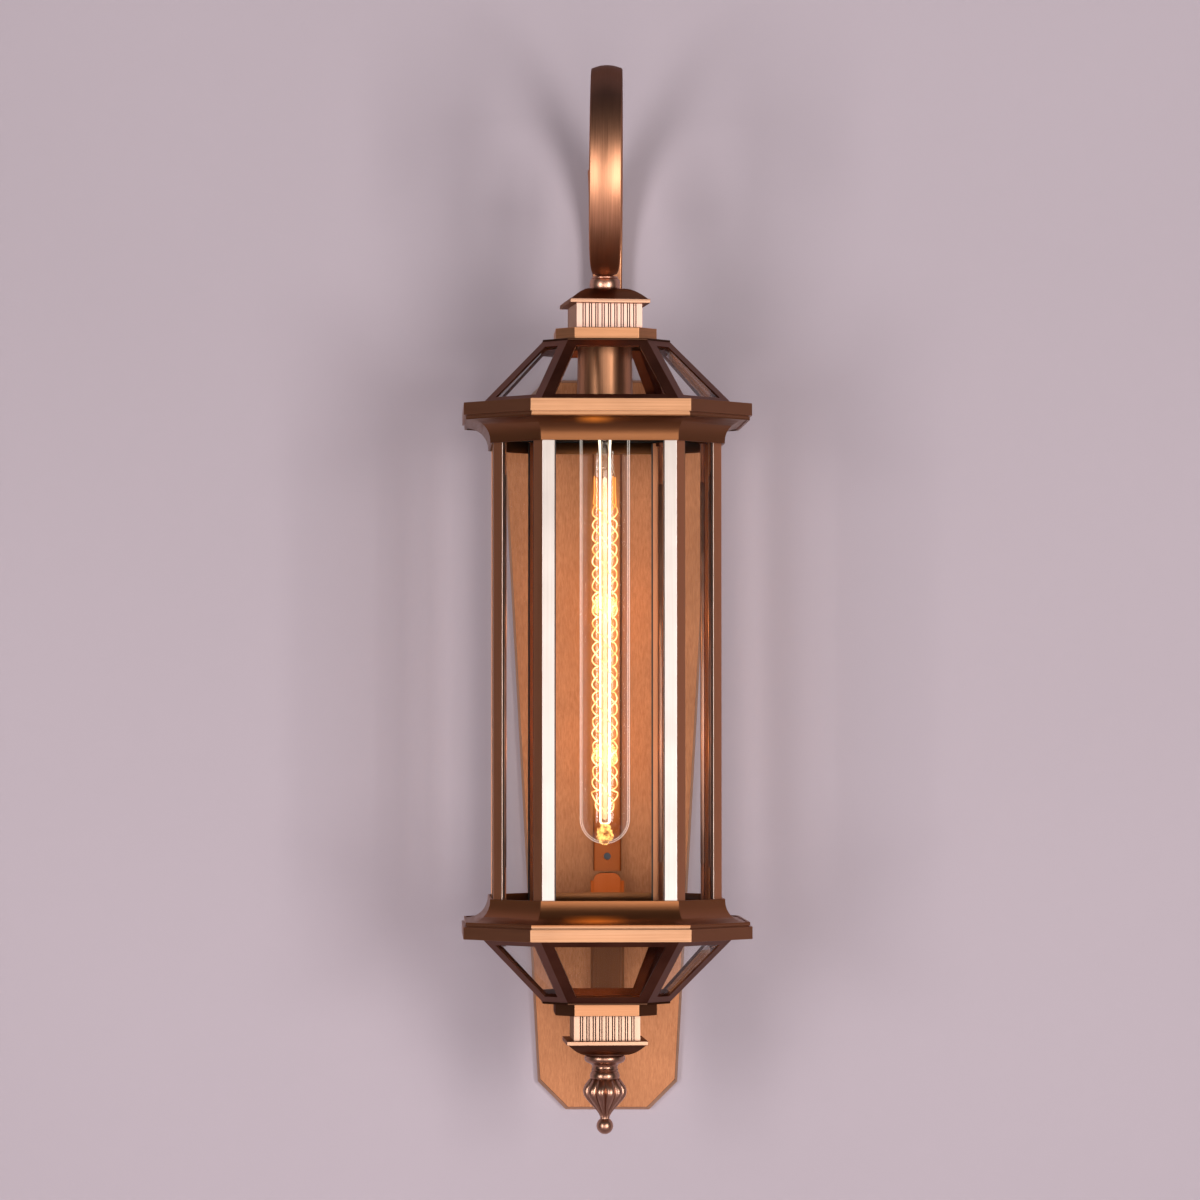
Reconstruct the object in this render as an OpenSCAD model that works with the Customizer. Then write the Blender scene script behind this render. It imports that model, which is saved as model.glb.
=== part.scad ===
// Wall lantern: a long eight-sided glazed body with two cornices, hung from a scrolled arm on a
// tapered wall plate. Millimetres. The wall is the plane y = 0, the lantern stands out towards -Y,
// and the origin is midway between the two wall fixings.

/* [Wall plate] */
// Width across the upper shoulders
plate_w = 132; // [100:1:160]
// Width across the lower shoulders
plate_foot_w = 87; // [60:1:100]
// Overall height
plate_h = 456; // [400:1:520]
// Top edge above the upper wall fixing
plate_rise = 34; // [20:1:50]
// Leg of the upper corner cuts
plate_top_cut = 27; // [10:1:36]
// Leg of the lower corner cuts
plate_foot_cut = 17.4; // [8:1:26]
// Thickness of the plate
plate_t = 5; // [4:0.5:8]
// Bevel round the front edge
plate_bevel = 1.6; // [0.5:0.1:3]
// Distance between the two wall fixings
bolt_pitch = 264; // [220:1:280]
// Clearance hole for each wall fixing
bolt_d = 4.5; // [3.5:0.1:6]

/* [Scrolled arm] */
// From the wall to the axis of the lantern
reach = 120; // [108:1:160]
// Outside diameter of the front of the scroll
scroll_d = 127.2; // [100:0.2:160]
// Each further quarter turn of the volute, as a share of the one before
scroll_ratio = 0.63; // [0.55:0.01:0.68]
// Width at the front of the scroll
arm_w = 19.4; // [16:0.2:26]
// Width at the lower end of the spine
arm_foot_w = 17.2; // [14:0.2:22]
// Width over the hanging tube
arm_neck_w = 15.4; // [13:0.2:18]
// Width at the tip of the volute
arm_tip_w = 9; // [6:0.5:12]
// Thickness of the bar
arm_t = 8; // [6:0.5:10]
// Thickness at the tip of the volute
arm_tip_t = 4.5; // [3:0.5:6]
// Rise of the crowned outer face over its edges
arm_crown = 1.6; // [0:0.1:1.6]
// Sideways bow of the outer turns
scroll_bow = 1.5; // [0:0.1:3]
// Sideways drift of the volute's inner turns, to the other side
volute_drift = 4.4; // [0:0.1:8]
// Spine below the lower wall fixing
arm_tail = 9; // [7:0.5:14]

/* [Lantern body] */
// Across two opposite wide faces
body_w = 135; // [120:1:150]
// Width of a wide face
face_w = 78.8; // [66:0.2:84]
// Clear height between the cornices
body_h = 269.4; // [220:0.2:320]
// Middle of the body below the wall fixings' middle
body_drop = 18.3; // [0:0.1:40]
// Turn of the hung lantern on its tube
lantern_turn = 3.2; // [-10:0.1:10]
// Flange of a corner post
post_w = 7.2; // [6:0.1:10]
// Sheet of posts and roof frames
sheet_t = 1.2; // [0.8:0.1:1.8]
// Thickness of the glass
glass_t = 2; // [1.5:0.1:2.4]
// Diameter of a tie rod
rod_d = 3; // [2:0.5:4]

/* [Cornices] */
// Height of a cornice
cornice_h = 23.4; // [20:0.2:30]
// Projection of the fascia beyond the body
cornice_out = 17.7; // [14:0.1:24]
// Height of the fascia
fascia_h = 7.3; // [5:0.1:9]
// Projection of the lower lip
lip_out = 2; // [1.6:0.1:3]
// Sheet of the cornices
cornice_t = 1.3; // [1:0.1:1.6]
// Width of the end flange, inwards from the body's face
flange_in = 15.5; // [11:0.5:20]
// Gallery plate above the lip
gallery_up = 7; // [5:0.5:9]

/* [Roof and base] */
// Height of a glazed roof or base
roof_h = 38; // [28:0.5:50]
// Foot of the roof beyond the body's wide faces
roof_out = 6.5; // [4:0.5:12]
// Half across the wide faces at the narrow end
roof_end = 38; // [34:0.5:44]
// Half width of a wide face at the narrow end
roof_end_face = 23.5; // [20:0.5:26]
// Bars along the hips
hip_bar = 6; // [4:0.5:8]
// Bars along the foot and the narrow end
rail_bar = 4.8; // [4.8:0.1:7]

/* [Collars, necks and caps] */
// Half across the collar's wide faces
collar_half = 30.2; // [28:0.2:33]
// Half width of a collar's wide face
collar_face = 19.1; // [16:0.1:22]
// Height of a collar over its flange
collar_h = 7.2; // [5:0.2:12]
// Side of the square fluted neck
neck_w = 39.6; // [34:0.1:42]
// Height of a neck
neck_h = 15.2; // [10:0.2:24]
// Turn of the upper neck and cap against the lantern
upper_turn = 5.7; // [-10:0.1:10]
// Turn of the lower neck and cap against the lantern
lower_turn = -1.6; // [-10:0.1:10]
// Grooves on each side of a neck
flutes = 9; // [5:1:13]
// Side of the square caps
cap_w = 48.2; // [44:0.2:56]
// Thickness of a cap's edge
cap_edge = 2.5; // [1.5:0.1:4]
// Height of a cap's dome
dome_h = 7.4; // [5:0.1:12]
// Half width of the dome's flat end
dome_end = 10; // [9:0.5:13]

/* [Hanger and finial] */
// Outside diameter of the threaded hanging tube
tube_d = 8; // [6:0.5:9]
// Height of the ball collar
ball_h = 8; // [6:0.5:14]
// Diameter of the ball collar
ball_d = 18.4; // [13:0.2:20]
// Length of the finial below its cap
finial_h = 48; // [42:0.5:60]
// Largest radius of the gadrooned bulb
finial_r = 12.9; // [11:0.1:16]
// Gadroons round the bulb
gadroons = 12; // [8:1:16]

/* [Lamp] */
// Outside radius of the cup over the lampholder
cup_r = 17; // [16.8:0.1:20]
// Length of the cup
cup_h = 42; // [36:1:50]
// Outside diameter of the tubular bulb
bulb_d = 30; // [26:0.5:30]
// Overall length of the bulb
bulb_len = 290; // [200:1:300]
// Radius of the filament's spiral
filament_r = 8.4; // [5:0.1:10]
// Height of one turn of a filament strand
filament_pitch = 30.8; // [20:0.2:40]

/* [Hidden] */
SIDES = ["right", "rear_right", "rear", "rear_left", "left", "front_left", "front", "front_right"];
$fn = 48;

COPPER = [0.72, 0.45, 0.30];
BRONZE = [0.33, 0.20, 0.14];
STEEL = [0.70, 0.70, 0.72];
BLACK = [0.08, 0.08, 0.09];
CLEAR = [0.85, 0.92, 0.92, 0.3];

// Working clearances
gap = 0.1;
hole_gap = 0.15;
eps = 0.01;

// Heights of the lantern's parts over the middle of its body
lip_z = body_h / 2;
fascia_z = lip_z + cornice_h;
end_z = fascia_z + roof_h;
flange_t = 1.2;
collar_z = end_z + flange_t;
neck_z = collar_z + collar_h;
cap_z = neck_z + neck_h;
ball_z = cap_z + cap_edge + dome_h;
arm_z = ball_z + ball_h;

body_a = body_w / 2;
body_b = face_w / 2;
gallery_z = lip_z + gallery_up;
gallery_t = 1.2;
nut_h = 2.4;
nut_af = 5;
rod_in = sheet_t + 2 * gap + glass_t + nut_af / 2 / cos(30);
pane_lap = 1.5;
rail_lap = 1.2;

// Corners of an eight-sided outline: a is half across the wide faces, b half a wide face
function octagon(a, b) = [[a, -b], [a, b], [b, a], [-b, a], [-a, b], [-a, -b], [-b, -a], [b, -a]];

// The same outline set out by a distance square to every face
function body_octagon(out) = octagon(body_a + out, body_b + out * (sqrt(2) - 1));
function unit(v) = v / norm(v);

// The point set in from corner i by the same distance from both its faces
function inset_corner(points, i, depth) =
    let (c = points[i], f1 = unit(points[(i + 7) % 8] - c), f2 = unit(points[(i + 1) % 8] - c),
         n1 = [f1.y, -f1.x], n2 = [-f2.y, f2.x])
    c + (n1 + n2) * depth / (1 + n1 * n2);
function face_half(points, i) = norm(points[(i + 1) % 8] - points[i]) / 2;
function face_apothem(points, i) = norm(points[(i + 1) % 8] + points[i]) / 2;
function at_height(points, z) = [for (p = points) [p.x, p.y, z]];

// A solid through a list of rings, each with the same number of points
module loft(rings) {
    n = len(rings[0]);
    last = len(rings) - 1;
    sides = [for (k = [0:last - 1], i = [0:n - 1])
        [k * n + i, (k + 1) * n + i, (k + 1) * n + (i + 1) % n, k * n + (i + 1) % n]];
    ends = [[for (i = [0:n - 1]) i], [for (i = [n - 1:-1:0]) last * n + i]];
    polyhedron(points = [for (r = rings) each r], faces = concat(ends, sides), convexity = 8);
}

// A mitred moulding round the body: each profile point is [projection, height]
module moulding(profile) {
    n = len(profile);
    points = [for (i = [0:7], p = profile) let (c = body_octagon(p.x)[i]) [c.x, c.y, p.y]];
    faces = [for (i = [0:7], k = [0:n - 1])
        let (j = (i + 1) % 8, m = (k + 1) % n) [i * n + k, i * n + m, j * n + m, j * n + k]];
    polyhedron(points = points, faces = faces, convexity = 8);
}

// Places its children in the lantern's own frame
module hung() {
    translate([0, -reach, -body_drop]) rotate([0, 0, lantern_turn]) children();
}

module flipped() {
    mirror([0, 0, 1]) children();
}

module hex_nut(across, bore_d, h) {
    difference() {
        cylinder(d = across / cos(30), h = h, $fn = 6);
        translate([0, 0, -1]) cylinder(d = bore_d, h = h + 2);
    }
}

// Wall plate and its fixings
plate_top = bolt_pitch / 2 + plate_rise;
plate_bottom = plate_top - plate_h;
arm_screw_z = 70;
arm_screw_d = 4;
screw_head_h = 2.3;
cable_d = 10;
arm_bottom = -bolt_pitch / 2 - arm_tail;
cover_gap = 1.2;
cover_top = arm_bottom - cover_gap;
cover_h = 88;
cover_w = 17;
cover_foot = 2;
cover_d = 10;
cover_t = 1.2;
cable_z = cover_top - 22;

function plate_outline(inset) =
    let (w = plate_w / 2 - inset, f = plate_foot_w / 2 - inset, t = plate_top - inset,
         b = plate_bottom + inset, c = plate_top_cut, d = plate_foot_cut)
    [[-w, t - c], [-f, b + d], [-f + d, b], [f - d, b], [f, b + d], [w, t - c], [w - c, t], [c - w, t]];

module backplate() {
    color(COPPER) difference() {
        rotate([90, 0, 0]) union() {
            linear_extrude(plate_t - plate_bevel) polygon(plate_outline(0));
            loft([at_height(plate_outline(0), plate_t - plate_bevel - eps),
                  at_height(plate_outline(0), plate_t - plate_bevel),
                  at_height(plate_outline(plate_bevel), plate_t)]);
        }
        for (z = [-1, 1] * bolt_pitch / 2) translate([0, 1, z])
            rotate([90, 0, 0]) cylinder(d = bolt_d, h = plate_t + 2);
        for (z = [-1, 1] * arm_screw_z) translate([0, 0, z]) rotate([90, 0, 0])
            screw_blank(hole_gap, plate_t + 1);
        translate([0, 1, cable_z]) rotate([90, 0, 0]) cylinder(d = cable_d, h = plate_t + 2);
    }
}

// Countersunk screw along +Z with its head's face at z = 0, grown by a clearance
module screw_blank(grow, length) {
    r = arm_screw_d / 2;
    rotate_extrude() polygon([[0, -grow], [2 * r + grow, -grow], [2 * r + grow, 0],
        [r + grow, screw_head_h + grow], [r + grow, length], [0, length]]);
}

module arm_screws() {
    color(STEEL) for (z = [-1, 1] * arm_screw_z) translate([0, 0, z]) rotate([90, 0, 0])
        difference() {
            screw_blank(0, plate_t + 5);
            translate([-3, -0.5, -1]) cube([6, 1, 1.8]);
        }
}

// Channel over the supply cable, below the arm's foot
module cable_cover() {
    half = cover_w / 2;
    color(BRONZE) translate([0, -plate_t, cover_top - cover_h]) difference() {
        union() {
            linear_extrude(cover_h) difference() {
                translate([-half, -cover_d]) square([cover_w, cover_d]);
                translate([cover_t - half, -cover_d + cover_t]) square([cover_w - 2 * cover_t, cover_d]);
            }
            for (s = [-1, 1]) translate([s * (half + cover_foot / 2) - cover_foot / 2, -cover_t, 0])
                cube([cover_foot, cover_t, cover_h]);
            translate([-half, -cover_d, cover_h - cover_t]) cube([cover_w, cover_d, cover_t]);
        }
        for (s = [-1, 1]) translate([s * (half + cover_foot + 1), 1, cover_h + 1])
            rotate([90, 0, 0]) shoulder_cut(s);
    }
}

// What is cut from an upper corner of the cover to round its shoulder
module shoulder_cut(s) {
    r = 5;
    reach_in = cover_foot + 1 + r;
    linear_extrude(cover_d + 2) difference() {
        translate([s > 0 ? -reach_in : 0, -r - 1]) square([reach_in, r + 2]);
        translate([-s * reach_in, -r - 1]) circle(r);
    }
}

module cable_grommet() {
    color(BLACK) translate([0, 0, cable_z]) rotate([90, 0, 0]) rotate_extrude()
        polygon([[3.2, 0.2], [cable_d / 2 - gap, 0.2], [cable_d / 2 - gap, plate_t],
                 [cable_d / 2 + 1.4, plate_t], [cable_d / 2 + 1.4, plate_t + 1.4], [3.2, plate_t + 1.4]]);
}

// Scrolled arm: a straight spine, then quarter turns that all curl the same way. The path is drawn
// in [distance from the wall, height].
spine_u = plate_t + arm_t / 2;
scroll_r = (scroll_d - arm_t) / 2;
TURN_R = [reach - spine_u, scroll_r, scroll_r,
    for (k = [1:4]) scroll_r * pow(scroll_ratio, k)];
TURN_STEPS = [14, 12, 16, 10, 9, 8, 7];
hang_seat = scroll_d / 2 - sqrt(pow(scroll_d / 2, 2) - pow(tube_d / 2 + hole_gap, 2));
hang_z = arm_z - body_drop - hang_seat;
spine_top = hang_z + scroll_d - arm_t / 2 - TURN_R[0];
function heading(k) = 90 - 90 * k;
function turn_start(k) = k == 0 ? [spine_u, spine_top]
    : turn_centre(k - 1) + TURN_R[k - 1] * [cos(heading(k - 1)), sin(heading(k - 1))];
function turn_centre(k) = turn_start(k) + TURN_R[k] * [cos(heading(k) - 90), sin(heading(k) - 90)];

// Width, thickness and sideways drift at turn k, a share t of the way round it
function spine_w(t) = arm_foot_w + (arm_w - arm_foot_w) * t;
function bar_w(k, t) = k == 0 ? spine_w(0.6 + 0.1 * t) : k == 1 ? spine_w(0.7 + 0.3 * t)
    : k == 2 ? arm_w - (arm_w - arm_neck_w) * pow(t, 4)
    : arm_neck_w - (arm_neck_w - arm_tip_w) * (k - 3 + t) / 4;
function bar_t(k, t) = k < 3 ? arm_t : arm_t - (arm_t - arm_tip_t) * (k - 3 + t) / 4;
function drift(k, t) = k < 3 ? scroll_bow * sin(60 * (k + t))
    : -volute_drift * (1 - cos(90 * min(1, (k - 3 + t) / 2)));

// Cross-section of the bar: rounded edges, a flat inner face and a crowned outer one
function bar_section(w, t) =
    let (r = 1.3, h = w / 2, o = t / 2 - arm_crown)
    [[-h + r, -t / 2], [h - r, -t / 2], [h - 0.3 * r, 0.3 * r - t / 2], [h, r - t / 2],
     [h, o - r], [h - 0.3 * r, o - 0.3 * r], [h - r, o], [h / 2, o + arm_crown * 0.75], [0, t / 2],
     [-h / 2, o + arm_crown * 0.75], [r - h, o], [0.3 * r - h, o - 0.3 * r], [-h, o - r],
     [-h, r - t / 2], [0.3 * r - h, 0.3 * r - t / 2]];
function bar_ring(p, angle, w, t, x) =
    [for (s = bar_section(w, t))
        [x + s.x, -(p.x + s.y * cos(angle + 90)), p.y + s.y * sin(angle + 90)]];
function turn_ring(k, t) =
    bar_ring(turn_centre(k) + TURN_R[k] * [cos(heading(k) + 90 - 90 * t), sin(heading(k) + 90 - 90 * t)],
        heading(k) - 90 * t, bar_w(k, t), bar_t(k, t), drift(k, t));

module scroll_arm() {
    rings = concat(
        [bar_ring([spine_u, arm_bottom], 90, spine_w(0), arm_t, 0)],
        [for (k = [0:6], i = [0:TURN_STEPS[k] - 1]) turn_ring(k, i / TURN_STEPS[k])],
        [turn_ring(6, 1)]);
    color(COPPER) difference() {
        loft(rings);
        for (z = [-1, 1] * bolt_pitch / 2) translate([0, 0, z])
            rotate([90, 0, 0]) cylinder(d = bolt_d, h = plate_t + arm_t + 1);
        for (z = [-1, 1] * arm_screw_z) translate([0, 0, z])
            rotate([90, 0, 0]) cylinder(d = arm_screw_d, h = plate_t + 5.5);
        translate([0, -reach, hang_z - 1]) cylinder(d = tube_d + 2 * hole_gap, h = arm_t + 3);
    }
}

// Hanging tube, its nuts and the ball collar
tube_bore = 5;
hanger_nut_h = 4;
hanger_nut_af = 12;
nut_seat_r = scroll_r * scroll_ratio - arm_t / 2;
nut_seat = nut_seat_r - sqrt(pow(nut_seat_r, 2) - pow(hanger_nut_af / 2 / cos(30), 2));
hanger_nut_z = arm_z - hang_seat + arm_t + nut_seat;
tube_top = hanger_nut_z + hanger_nut_h + 1.5;
cup_top = end_z;
cup_t = 1.3;
cup_nut_z = cup_top - cup_t - hanger_nut_h;
holder_top = cup_nut_z - 2;
holder_wall = 1.8;
tube_end = holder_top - holder_wall;

module hanging_tube() {
    color(STEEL) hung() translate([0, 0, tube_end]) difference() {
        cylinder(d = tube_d, h = tube_top - tube_end);
        translate([0, 0, -1]) cylinder(d = tube_bore, h = tube_top - tube_end + 2);
    }
}

module hanger_nut() {
    color(BRONZE) hung() translate([0, 0, hanger_nut_z])
        hex_nut(hanger_nut_af, tube_d + gap, hanger_nut_h);
}

module cup_nut() {
    color(STEEL) hung() translate([0, 0, cup_nut_z]) hex_nut(hanger_nut_af, tube_d + gap, hanger_nut_h);
}

module ball_collar() {
    r = ball_d / 2;
    ring_h = 1.8;
    mid = (ball_h - ring_h) / 2;
    color(BRONZE) hung() translate([0, 0, ball_z]) difference() {
        rotate_extrude() union() {
            intersection() {
                translate([0, mid]) circle(r);
                square([r, 2 * mid]);
            }
            square([r * 0.8, ball_h - ring_h / 2]);
            translate([r * 0.86 - ring_h / 2, ball_h - ring_h / 2]) circle(d = ring_h, $fn = 24);
            translate([0, ball_h - ring_h]) square([r * 0.86 - ring_h / 2, ring_h]);
        }
        translate([0, 0, -1]) cylinder(d = tube_d + 2 * hole_gap, h = ball_h + 2);
    }
}

// Square cap: a thin edge and a dome that flattens towards its end
module square_cap(end_half, height, bore_d) {
    steps = 7;
    foot = cap_w / 2 - 1;
    square_ring = function (h) [[h, -h], [h, h], [-h, h], [-h, -h]];
    difference() {
        union() {
            translate([-cap_w / 2, -cap_w / 2, 0]) cube([cap_w, cap_w, cap_edge]);
            loft([for (i = [0:steps]) let (t = i / steps)
                at_height(square_ring(foot - (foot - end_half) * t),
                    cap_edge - eps + (height + eps) * (1 - pow(1 - t, 1.7)))]);
        }
        translate([0, 0, -1]) cylinder(d = bore_d, h = cap_edge + height + 2);
    }
}

// Square neck: a hollow box with sunk flutes, each with a bead down its middle
module fluted_neck() {
    half = neck_w / 2;
    wall = 3;
    pitch = neck_w / (flutes + 1.36);
    flute = pitch * 0.5;
    bead = pitch * 0.2;
    deep = 1;
    linear_extrude(neck_h) difference() {
        square(neck_w, center = true);
        square(neck_w - 2 * wall, center = true);
        for (side = [0:3], i = [0:flutes - 1]) rotate(90 * side)
            translate([(i - (flutes - 1) / 2) * pitch, -half]) for (s = [-1, 1])
                translate([s * (flute + bead) / 4 - (flute - bead) / 4, -1])
                    square([(flute - bead) / 2, deep + 1]);
    }
}

// Octagonal collar: a flange over the narrow end of a frame and a closed box on it
module collar(bore_d) {
    wall = 1.6;
    box = octagon(collar_half, collar_face);
    inner = octagon(collar_half - wall, collar_face - wall * (sqrt(2) - 1));
    difference() {
        union() {
            linear_extrude(flange_t) polygon(octagon(roof_end, roof_end_face));
            translate([0, 0, flange_t]) linear_extrude(collar_h) polygon(box);
        }
        translate([0, 0, flange_t]) linear_extrude(collar_h - wall) polygon(inner);
        translate([0, 0, -1]) cylinder(d = bore_d, h = flange_t + collar_h + 2);
    }
}

module top_cap() {
    color(BRONZE) hung() rotate(upper_turn) translate([0, 0, cap_z])
        square_cap(dome_end, dome_h, tube_d + 2 * hole_gap);
}

module top_neck() {
    color(COPPER) hung() rotate(upper_turn) translate([0, 0, neck_z]) fluted_neck();
}

module top_collar() {
    color(COPPER) hung() translate([0, 0, end_z]) collar(tube_d + 2 * hole_gap);
}

// The lower collar is tapped for the finial's stud
module bottom_collar() {
    color(COPPER) hung() flipped() translate([0, 0, end_z]) collar(stud_d + gap);
}

module bottom_neck() {
    color(COPPER) hung() flipped() rotate(-lower_turn) translate([0, 0, neck_z]) fluted_neck();
}

stud_d = 6;
finial_z = ball_z - 1;
stud_h = finial_z - end_z + 0.5;

module bottom_cap() {
    color(BRONZE) hung() flipped() rotate(-lower_turn) translate([0, 0, cap_z])
        square_cap(dome_end + 2, dome_h - 1, stud_d + 2 * hole_gap);
}

// Glazed roof, and the base as its mirror image
roof_foot = body_a + roof_out;
roof_foot_face = body_b + roof_out * 0.17;
foot_ring = octagon(roof_foot, roof_foot_face);
end_ring = octagon(roof_end, roof_end_face);

// Places children on face i of the roof: x runs along the foot, y up the slope, z outwards
module on_roof_face(i) {
    fall = face_apothem(foot_ring, i) - face_apothem(end_ring, i);
    rotate([0, 0, 45 * i]) translate([face_apothem(foot_ring, i), 0, fascia_z])
        rotate([0, -atan2(fall, roof_h), 0]) rotate([90, 0, 90]) children();
}

// Outline of face i less a margin along its hips and another along its two rails
module roof_face_outline(i, hip, rail) {
    foot = face_half(foot_ring, i);
    end = face_half(end_ring, i);
    slope = norm([roof_h, face_apothem(foot_ring, i) - face_apothem(end_ring, i)]);
    lean = (foot - end) / slope;
    half = function (y) foot - lean * y - hip * sqrt(1 + lean * lean);
    polygon([[-half(rail), rail], [half(rail), rail],
             [half(slope - rail), slope - rail], [-half(slope - rail), slope - rail]]);
}

module glazing_frame() {
    fall = (roof_foot - roof_end) / roof_h;
    side_in = sheet_t * sqrt(1 + fall * fall);
    shrink = function (a, b) octagon(a - side_in, b - side_in * (sqrt(2) - 1));
    difference() {
        loft([at_height(foot_ring, fascia_z), at_height(end_ring, end_z)]);
        loft([at_height(shrink(roof_foot + fall, roof_foot_face + 0.45), fascia_z - 1),
              at_height(shrink(roof_end - fall, roof_end_face - 0.45), end_z + 1)]);
        for (i = [0:7]) on_roof_face(i) translate([0, 0, -4])
            linear_extrude(8) roof_face_outline(i, hip_bar, rail_bar);
    }
    foot_tabs(fall);
}

// Tabs under the hips of a frame, clamped onto the cornice by the tie rods
module foot_tabs(fall) {
    half = 2.5;
    rods = body_octagon(0);
    translate([0, 0, fascia_z]) difference() {
        linear_extrude(flange_t) for (i = [0:7]) {
            p = inset_corner(rods, i, rod_in);
            c = inset_corner(foot_ring, i, fall * flange_t + half * sin(22.5) + 0.2);
            across = [p.y - c.y, c.x - p.x] * half / norm(c - p);
            translate(p) circle(half + 0.6);
            polygon([p - across, c - across, c + across, p + across]);
        }
        rod_holes(-1, flange_t + 2);
    }
}

module glazing_pane(i) {
    on_roof_face(i) translate([0, 0, -sheet_t - gap - glass_t])
        linear_extrude(glass_t) roof_face_outline(i, hip_bar - pane_lap, rail_bar - rail_lap);
}

module roof_frame() {
    color(BRONZE) hung() glazing_frame();
}

module base_frame() {
    color(BRONZE) hung() flipped() glazing_frame();
}

module roof_pane(i) {
    color(CLEAR) hung() glazing_pane(i);
}

// The mirror image of face i is the face below it
module base_pane(i) {
    color(CLEAR) hung() flipped() glazing_pane(i);
}

// Cornices: a fascia over a narrow fillet, then a cove down to the lip
function arc_points(centre, r, from, to, steps) =
    [for (i = [0:steps]) let (a = from + (to - from) * i / steps) centre + r * [cos(a), sin(a)]];

module cornice() {
    fillet_out = cornice_out - 1.3;
    cove_out = cornice_out - 2.8;
    cove_r = cove_out - lip_out;
    groove_out = cornice_out - 2;
    fascia_low = fascia_z - fascia_h;
    groove_low = fascia_low - 0.7;
    fillet_low = groove_low - 2;
    inside = cove_out - 0.8;
    outer = concat(
        [[lip_out, lip_z]],
        arc_points([cove_out, lip_z + 1.2], cove_r, 180, 90, 8),
        [[cove_out, fillet_low], [fillet_out, fillet_low], [fillet_out, groove_low],
         [groove_out, groove_low], [groove_out, fascia_low], [cornice_out, fascia_low],
         [cornice_out, fascia_z]]);
    inner = concat(
        [[-flange_in, fascia_z], [-flange_in, fascia_z - cornice_t],
         [cornice_out - cornice_t, fascia_z - cornice_t], [cornice_out - cornice_t, fascia_low + cornice_t],
         [inside, fascia_low + cornice_t]],
        arc_points([cove_out, lip_z + 1.2], cove_r + cornice_t, 93, 180, 8),
        [[lip_out - cornice_t, lip_z]]);
    difference() {
        moulding(concat(outer, inner));
        rod_holes(fascia_z - cornice_t - 1, cornice_t + 2);
    }
}

module rod_holes(z, h) {
    for (i = [0:7]) translate(inset_corner(body_octagon(0), i, rod_in)) translate([0, 0, z])
        cylinder(d = rod_d + 2 * hole_gap, h = h);
}

// Ring plate inside a cornice that the posts stand against and the tie rods clamp
module gallery() {
    rise = gallery_up - 1.2;
    cove_out = cornice_out - 2.8;
    cove_r = cove_out - lip_out + cornice_t;
    out = cove_out - sqrt(cove_r * cove_r - rise * rise) - gap;
    translate([0, 0, gallery_z]) difference() {
        linear_extrude(gallery_t) difference() {
            polygon(body_octagon(out));
            polygon(body_octagon(-flange_in));
        }
        rod_holes(-1, gallery_t + 2);
    }
}

module top_cornice() {
    color(COPPER) hung() cornice();
}

module bottom_cornice() {
    color(COPPER) hung() flipped() cornice();
}

module top_gallery() {
    color(BLACK) hung() gallery();
}

module bottom_gallery() {
    color(BLACK) hung() flipped() gallery();
}

// Corner post i: two flanges folded along the body's edge
module post(i) {
    points = body_octagon(0);
    c = points[i];
    f1 = unit(points[(i + 7) % 8] - c);
    f2 = unit(points[(i + 1) % 8] - c);
    color(COPPER) hung() translate([0, 0, -gallery_z]) linear_extrude(2 * gallery_z)
        polygon([c, c + f2 * post_w, c + f2 * post_w + [-f2.y, f2.x] * sheet_t,
                 inset_corner(points, i, sheet_t), c + f1 * post_w + [f1.y, -f1.x] * sheet_t,
                 c + f1 * post_w]);
}

module body_pane(i) {
    points = body_octagon(0);
    depth = sheet_t + gap + glass_t;
    half = face_half(points, i) - depth * tan(22.5) - gap;
    color(CLEAR) hung() rotate([0, 0, 45 * i])
        translate([face_apothem(points, i) - depth, -half, -gallery_z])
            cube([glass_t, 2 * half, 2 * gallery_z]);
}

// Eight tie rods. At each end a pair of nuts clamps the gallery and a pair clamps the cornice's
// end flange with the frame's foot.
module tie_rods() {
    reach_z = fascia_z + flange_t + nut_h + 1;
    nut_z = [gallery_z - nut_h, gallery_z + gallery_t, fascia_z - cornice_t - nut_h,
             fascia_z + flange_t];
    color(BRONZE) hung() for (i = [0:7]) translate(inset_corner(body_octagon(0), i, rod_in)) {
        translate([0, 0, -reach_z]) cylinder(d = rod_d, h = 2 * reach_z);
        for (m = [0, 1], z = nut_z) mirror([0, 0, m])
            translate([0, 0, z]) hex_nut(nut_af, rod_d + gap, nut_h);
    }
}

// Finial, drawn upwards from its cap and hung upside down: a ring, a waist, a gadrooned bulb,
// a taper and a ball
function smooth(t) = t * t * (3 - 2 * t);
function bulb_r(t) =
    t < 0.3 ? 8.8 + (finial_r - 8.8) * pow(sin(90 * t / 0.3), 0.75)
            : 2.7 + (finial_r - 2.7) * (1 - smooth(min(1, (t - 0.3) / 0.7)));

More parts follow.
